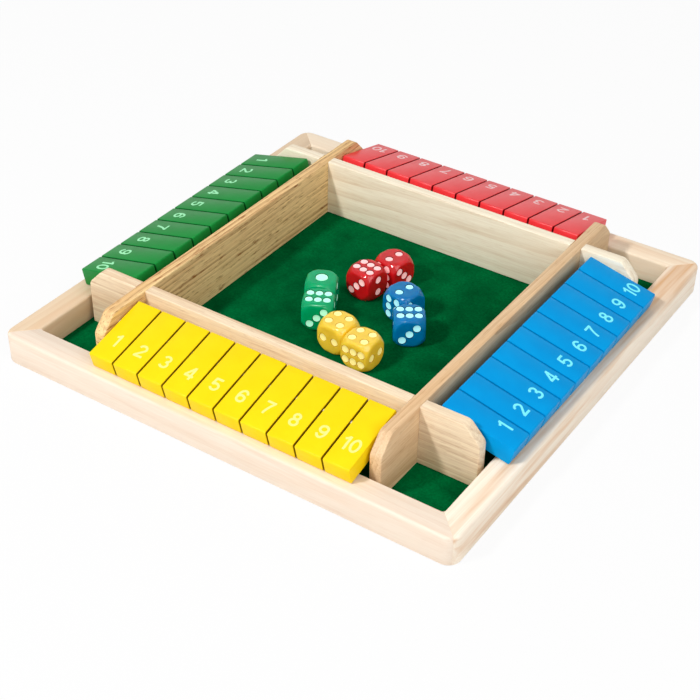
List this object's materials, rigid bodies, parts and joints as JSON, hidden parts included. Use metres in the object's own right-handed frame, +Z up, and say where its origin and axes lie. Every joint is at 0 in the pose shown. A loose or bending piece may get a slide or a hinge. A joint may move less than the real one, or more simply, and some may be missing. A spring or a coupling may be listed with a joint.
{
  "type": "shut the box game",
  "caption": "Square wooden dice tray with a felt floor, an inner frame and a row of hinged numbered tiles on each side.",
  "frame": {"origin": "centre of the underside, on the surface that the board lies on", "axes": "+Z up, -Y towards the yellow row, +X towards the blue row, +Y towards the red row, -X towards the green row"},
  "size_m": [0.25, 0.25, 0.0342],
  "materials": {
    "rail_wood": "fine sanded pine, clear matt lacquer",
    "wall_wood": "fine sanded pine with visible grain",
    "base_wood": "plain hardboard",
    "felt": "short wool felt",
    "rod_steel": "drawn steel wire",
    "yellow_paint": "satin yellow paint on wood",
    "blue_paint": "satin blue paint on wood",
    "red_paint": "satin red paint on wood",
    "green_paint": "satin green paint on wood",
    "green_dice": "polished translucent acrylic",
    "red_dice": "polished translucent acrylic",
    "blue_dice": "polished translucent acrylic",
    "yellow_dice": "polished translucent acrylic"
  },
  "bodies": {
    "board": {"outer_frame": "rail_wood", "base_board": "base_wood", "felt_sheet": "felt", "front_wall": "wall_wood", "right_wall": "wall_wood", "back_wall": "wall_wood", "left_wall": "wall_wood", "yellow_hinge_rod": "rod_steel", "blue_hinge_rod": "rod_steel", "red_hinge_rod": "rod_steel", "green_hinge_rod": "rod_steel"},
    "yellow_tile_1": {"yellow_tile_1": "yellow_paint"},
    "yellow_tile_2": {"yellow_tile_2": "yellow_paint"},
    "yellow_tile_3": {"yellow_tile_3": "yellow_paint"},
    "yellow_tile_4": {"yellow_tile_4": "yellow_paint"},
    "yellow_tile_5": {"yellow_tile_5": "yellow_paint"},
    "yellow_tile_6": {"yellow_tile_6": "yellow_paint"},
    "yellow_tile_7": {"yellow_tile_7": "yellow_paint"},
    "yellow_tile_8": {"yellow_tile_8": "yellow_paint"},
    "yellow_tile_9": {"yellow_tile_9": "yellow_paint"},
    "yellow_tile_10": {"yellow_tile_10": "yellow_paint"},
    "blue_tile_1": {"blue_tile_1": "blue_paint"},
    "blue_tile_2": {"blue_tile_2": "blue_paint"},
    "blue_tile_3": {"blue_tile_3": "blue_paint"},
    "blue_tile_4": {"blue_tile_4": "blue_paint"},
    "blue_tile_5": {"blue_tile_5": "blue_paint"},
    "blue_tile_6": {"blue_tile_6": "blue_paint"},
    "blue_tile_7": {"blue_tile_7": "blue_paint"},
    "blue_tile_8": {"blue_tile_8": "blue_paint"},
    "blue_tile_9": {"blue_tile_9": "blue_paint"},
    "blue_tile_10": {"blue_tile_10": "blue_paint"},
    "red_tile_1": {"red_tile_1": "red_paint"},
    "red_tile_2": {"red_tile_2": "red_paint"},
    "red_tile_3": {"red_tile_3": "red_paint"},
    "red_tile_4": {"red_tile_4": "red_paint"},
    "red_tile_5": {"red_tile_5": "red_paint"},
    "red_tile_6": {"red_tile_6": "red_paint"},
    "red_tile_7": {"red_tile_7": "red_paint"},
    "red_tile_8": {"red_tile_8": "red_paint"},
    "red_tile_9": {"red_tile_9": "red_paint"},
    "red_tile_10": {"red_tile_10": "red_paint"},
    "green_tile_1": {"green_tile_1": "green_paint"},
    "green_tile_2": {"green_tile_2": "green_paint"},
    "green_tile_3": {"green_tile_3": "green_paint"},
    "green_tile_4": {"green_tile_4": "green_paint"},
    "green_tile_5": {"green_tile_5": "green_paint"},
    "green_tile_6": {"green_tile_6": "green_paint"},
    "green_tile_7": {"green_tile_7": "green_paint"},
    "green_tile_8": {"green_tile_8": "green_paint"},
    "green_tile_9": {"green_tile_9": "green_paint"},
    "green_tile_10": {"green_tile_10": "green_paint"},
    "green_die_1": {"green_die_1": "green_dice"},
    "green_die_2": {"green_die_2": "green_dice"},
    "red_die_1": {"red_die_1": "red_dice"},
    "red_die_2": {"red_die_2": "red_dice"},
    "blue_die_1": {"blue_die_1": "blue_dice"},
    "blue_die_2": {"blue_die_2": "blue_dice"},
    "yellow_die_1": {"yellow_die_1": "yellow_dice"},
    "yellow_die_2": {"yellow_die_2": "yellow_dice"}
  },
  "joints": [
    {"name": "yellow_tile_1_hinge", "type": "hinge", "parent": "board", "child": "yellow_tile_1", "pos_m": [-0.06482, -0.09808, 0.0274], "axis": [-1, 0, 0], "range_deg": [0, 165]},
    {"name": "yellow_tile_2_hinge", "type": "hinge", "parent": "board", "child": "yellow_tile_2", "pos_m": [-0.05041, -0.09808, 0.0274], "axis": [-1, 0, 0], "range_deg": [0, 165]},
    {"name": "yellow_tile_3_hinge", "type": "hinge", "parent": "board", "child": "yellow_tile_3", "pos_m": [-0.03601, -0.09808, 0.0274], "axis": [-1, 0, 0], "range_deg": [0, 165]},
    {"name": "yellow_tile_4_hinge", "type": "hinge", "parent": "board", "child": "yellow_tile_4", "pos_m": [-0.02161, -0.09808, 0.0274], "axis": [-1, 0, 0], "range_deg": [0, 165]},
    {"name": "yellow_tile_5_hinge", "type": "hinge", "parent": "board", "child": "yellow_tile_5", "pos_m": [-0.0072, -0.09808, 0.0274], "axis": [-1, 0, 0], "range_deg": [0, 165]},
    {"name": "yellow_tile_6_hinge", "type": "hinge", "parent": "board", "child": "yellow_tile_6", "pos_m": [0.0072, -0.09808, 0.0274], "axis": [-1, 0, 0], "range_deg": [0, 165]},
    {"name": "yellow_tile_7_hinge", "type": "hinge", "parent": "board", "child": "yellow_tile_7", "pos_m": [0.02161, -0.09808, 0.0274], "axis": [-1, 0, 0], "range_deg": [0, 165]},
    {"name": "yellow_tile_8_hinge", "type": "hinge", "parent": "board", "child": "yellow_tile_8", "pos_m": [0.03601, -0.09808, 0.0274], "axis": [-1, 0, 0], "range_deg": [0, 165]},
    {"name": "yellow_tile_9_hinge", "type": "hinge", "parent": "board", "child": "yellow_tile_9", "pos_m": [0.05041, -0.09808, 0.0274], "axis": [-1, 0, 0], "range_deg": [0, 165]},
    {"name": "yellow_tile_10_hinge", "type": "hinge", "parent": "board", "child": "yellow_tile_10", "pos_m": [0.06482, -0.09808, 0.0274], "axis": [-1, 0, 0], "range_deg": [0, 165]},
    {"name": "blue_tile_1_hinge", "type": "hinge", "parent": "board", "child": "blue_tile_1", "pos_m": [0.09808, -0.06482, 0.0274], "axis": [0, -1, 0], "range_deg": [0, 165]},
    {"name": "blue_tile_2_hinge", "type": "hinge", "parent": "board", "child": "blue_tile_2", "pos_m": [0.09808, -0.05041, 0.0274], "axis": [0, -1, 0], "range_deg": [0, 165]},
    {"name": "blue_tile_3_hinge", "type": "hinge", "parent": "board", "child": "blue_tile_3", "pos_m": [0.09808, -0.03601, 0.0274], "axis": [0, -1, 0], "range_deg": [0, 165]},
    {"name": "blue_tile_4_hinge", "type": "hinge", "parent": "board", "child": "blue_tile_4", "pos_m": [0.09808, -0.02161, 0.0274], "axis": [0, -1, 0], "range_deg": [0, 165]},
    {"name": "blue_tile_5_hinge", "type": "hinge", "parent": "board", "child": "blue_tile_5", "pos_m": [0.09808, -0.0072, 0.0274], "axis": [0, -1, 0], "range_deg": [0, 165]},
    {"name": "blue_tile_6_hinge", "type": "hinge", "parent": "board", "child": "blue_tile_6", "pos_m": [0.09808, 0.0072, 0.0274], "axis": [0, -1, 0], "range_deg": [0, 165]},
    {"name": "blue_tile_7_hinge", "type": "hinge", "parent": "board", "child": "blue_tile_7", "pos_m": [0.09808, 0.02161, 0.0274], "axis": [0, -1, 0], "range_deg": [0, 165]},
    {"name": "blue_tile_8_hinge", "type": "hinge", "parent": "board", "child": "blue_tile_8", "pos_m": [0.09808, 0.03601, 0.0274], "axis": [0, -1, 0], "range_deg": [0, 165]},
    {"name": "blue_tile_9_hinge", "type": "hinge", "parent": "board", "child": "blue_tile_9", "pos_m": [0.09808, 0.05041, 0.0274], "axis": [0, -1, 0], "range_deg": [0, 165]},
    {"name": "blue_tile_10_hinge", "type": "hinge", "parent": "board", "child": "blue_tile_10", "pos_m": [0.09808, 0.06482, 0.0274], "axis": [0, -1, 0], "range_deg": [0, 165]},
    {"name": "red_tile_1_hinge", "type": "hinge", "parent": "board", "child": "red_tile_1", "pos_m": [0.06482, 0.09808, 0.0274], "axis": [1, 0, 0], "range_deg": [0, 165]},
    {"name": "red_tile_2_hinge", "type": "hinge", "parent": "board", "child": "red_tile_2", "pos_m": [0.05041, 0.09808, 0.0274], "axis": [1, 0, 0], "range_deg": [0, 165]},
    {"name": "red_tile_3_hinge", "type": "hinge", "parent": "board", "child": "red_tile_3", "pos_m": [0.03601, 0.09808, 0.0274], "axis": [1, 0, 0], "range_deg": [0, 165]},
    {"name": "red_tile_4_hinge", "type": "hinge", "parent": "board", "child": "red_tile_4", "pos_m": [0.02161, 0.09808, 0.0274], "axis": [1, 0, 0], "range_deg": [0, 165]},
    {"name": "red_tile_5_hinge", "type": "hinge", "parent": "board", "child": "red_tile_5", "pos_m": [0.0072, 0.09808, 0.0274], "axis": [1, 0, 0], "range_deg": [0, 165]},
    {"name": "red_tile_6_hinge", "type": "hinge", "parent": "board", "child": "red_tile_6", "pos_m": [-0.0072, 0.09808, 0.0274], "axis": [1, 0, 0], "range_deg": [0, 165]},
    {"name": "red_tile_7_hinge", "type": "hinge", "parent": "board", "child": "red_tile_7", "pos_m": [-0.02161, 0.09808, 0.0274], "axis": [1, 0, 0], "range_deg": [0, 165]},
    {"name": "red_tile_8_hinge", "type": "hinge", "parent": "board", "child": "red_tile_8", "pos_m": [-0.03601, 0.09808, 0.0274], "axis": [1, 0, 0], "range_deg": [0, 165]},
    {"name": "red_tile_9_hinge", "type": "hinge", "parent": "board", "child": "red_tile_9", "pos_m": [-0.05041, 0.09808, 0.0274], "axis": [1, 0, 0], "range_deg": [0, 165]},
    {"name": "red_tile_10_hinge", "type": "hinge", "parent": "board", "child": "red_tile_10", "pos_m": [-0.06482, 0.09808, 0.0274], "axis": [1, 0, 0], "range_deg": [0, 165]},
    {"name": "green_tile_1_hinge", "type": "hinge", "parent": "board", "child": "green_tile_1", "pos_m": [-0.09808, 0.06482, 0.0274], "axis": [0, 1, 0], "range_deg": [0, 165]},
    {"name": "green_tile_2_hinge", "type": "hinge", "parent": "board", "child": "green_tile_2", "pos_m": [-0.09808, 0.05041, 0.0274], "axis": [0, 1, 0], "range_deg": [0, 165]},
    {"name": "green_tile_3_hinge", "type": "hinge", "parent": "board", "child": "green_tile_3", "pos_m": [-0.09808, 0.03601, 0.0274], "axis": [0, 1, 0], "range_deg": [0, 165]},
    {"name": "green_tile_4_hinge", "type": "hinge", "parent": "board", "child": "green_tile_4", "pos_m": [-0.09808, 0.02161, 0.0274], "axis": [0, 1, 0], "range_deg": [0, 165]},
    {"name": "green_tile_5_hinge", "type": "hinge", "parent": "board", "child": "green_tile_5", "pos_m": [-0.09808, 0.0072, 0.0274], "axis": [0, 1, 0], "range_deg": [0, 165]},
    {"name": "green_tile_6_hinge", "type": "hinge", "parent": "board", "child": "green_tile_6", "pos_m": [-0.09808, -0.0072, 0.0274], "axis": [0, 1, 0], "range_deg": [0, 165]},
    {"name": "green_tile_7_hinge", "type": "hinge", "parent": "board", "child": "green_tile_7", "pos_m": [-0.09808, -0.02161, 0.0274], "axis": [0, 1, 0], "range_deg": [0, 165]},
    {"name": "green_tile_8_hinge", "type": "hinge", "parent": "board", "child": "green_tile_8", "pos_m": [-0.09808, -0.03601, 0.0274], "axis": [0, 1, 0], "range_deg": [0, 165]},
    {"name": "green_tile_9_hinge", "type": "hinge", "parent": "board", "child": "green_tile_9", "pos_m": [-0.09808, -0.05041, 0.0274], "axis": [0, 1, 0], "range_deg": [0, 165]},
    {"name": "green_tile_10_hinge", "type": "hinge", "parent": "board", "child": "green_tile_10", "pos_m": [-0.09808, -0.06482, 0.0274], "axis": [0, 1, 0], "range_deg": [0, 165]},
    {"name": "green_die_1_lift", "type": "slide", "parent": "board", "child": "green_die_1", "axis": [0, 0, 1], "range_m": [0, 0.045]},
    {"name": "green_die_2_lift", "type": "slide", "parent": "board", "child": "green_die_2", "axis": [0, 0, 1], "range_m": [0, 0.045]},
    {"name": "red_die_1_lift", "type": "slide", "parent": "board", "child": "red_die_1", "axis": [0, 0, 1], "range_m": [0, 0.045]},
    {"name": "red_die_2_lift", "type": "slide", "parent": "board", "child": "red_die_2", "axis": [0, 0, 1], "range_m": [0, 0.045]},
    {"name": "blue_die_1_lift", "type": "slide", "parent": "board", "child": "blue_die_1", "axis": [0, 0, 1], "range_m": [0, 0.045]},
    {"name": "blue_die_2_lift", "type": "slide", "parent": "board", "child": "blue_die_2", "axis": [0, 0, 1], "range_m": [0, 0.045]},
    {"name": "yellow_die_1_lift", "type": "slide", "parent": "board", "child": "yellow_die_1", "axis": [0, 0, 1], "range_m": [0, 0.045]},
    {"name": "yellow_die_2_lift", "type": "slide", "parent": "board", "child": "yellow_die_2", "axis": [0, 0, 1], "range_m": [0, 0.045]}
  ]
}
